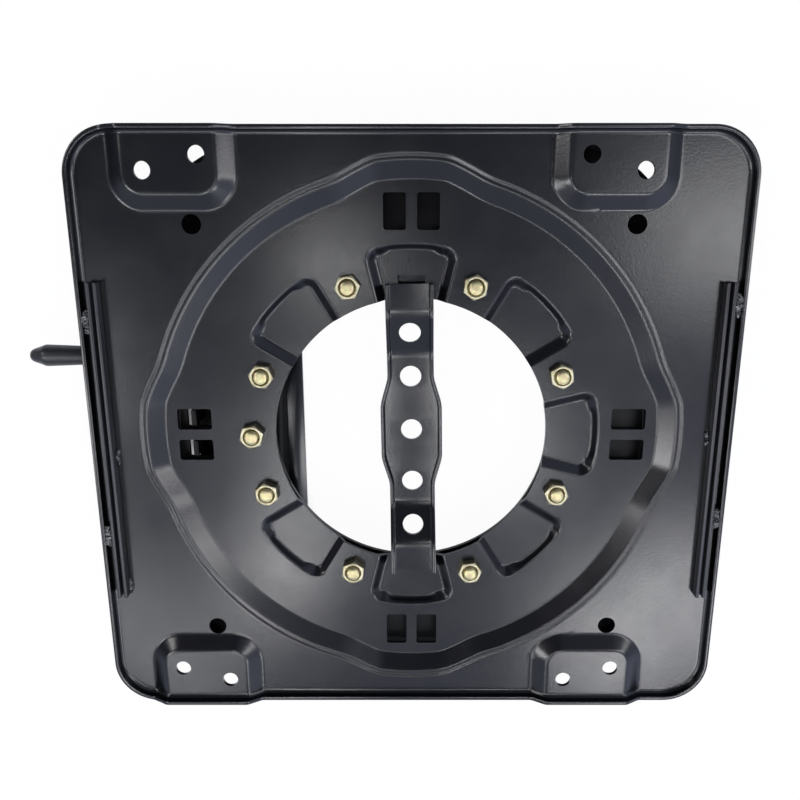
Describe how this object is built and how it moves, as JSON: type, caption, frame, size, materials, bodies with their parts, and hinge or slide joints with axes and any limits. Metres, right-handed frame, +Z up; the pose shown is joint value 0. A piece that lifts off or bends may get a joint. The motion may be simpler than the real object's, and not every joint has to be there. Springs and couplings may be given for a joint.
{
  "type": "swivel seat base",
  "caption": "Swivel seat base: a pressed square seat plate with corner bolt pads turns on a pressed base plate, with a lever latch.",
  "frame": {"origin": "on the swivel axis, at the underside of the base plate that is bolted down", "axes": "+Z up along the swivel axis towards the seat, +Y across the lever side along the plate's edge, -X towards the lever"},
  "size_m": [0.42, 0.352, 0.0555],
  "materials": {
    "black_coat_plate": "gloss",
    "black_coat": "gloss",
    "black_coat_base": "satin",
    "glide_plastic": "matte",
    "bare_steel": "satin",
    "zinc_bolt": "satin",
    "zinc_nut": "satin",
    "spring_steel": "satin",
    "rod_steel": "gloss",
    "grip_plastic": "satin"
  },
  "bodies": {
    "base": {"base_plate": "black_coat_base", "latch_bracket": "black_coat", "hinge_pin": "bare_steel", "pin_clip": "spring_steel", "latch_spring": "spring_steel"},
    "seat": {"seat_plate": "black_coat_plate", "bridge_strap": "black_coat", "side_rail_left": "black_coat", "side_rail_right": "black_coat", "glide_ring_upper": "glide_plastic", "glide_ring_lower": "glide_plastic", "clamp_ring": "black_coat", "spacer_bushes": "bare_steel", "clamp_bolts": "zinc_bolt", "clamp_nuts": "zinc_nut", "clamp_washers": "zinc_bolt"},
    "lever": {"latch_lever": "black_coat", "lever_rod": "rod_steel", "lever_grip": "grip_plastic"}
  },
  "joints": [
    {"name": "swivel", "type": "hinge", "parent": "base", "child": "seat", "pos_m": [0, 0, 0.03], "axis": [0, 0, 1], "continuous": true},
    {"name": "latch_hinge", "type": "hinge", "parent": "base", "child": "lever", "pos_m": [-0.084, 0, 0.0106], "axis": [0, 1, 0], "range_deg": [0, 4.5]}
  ]
}
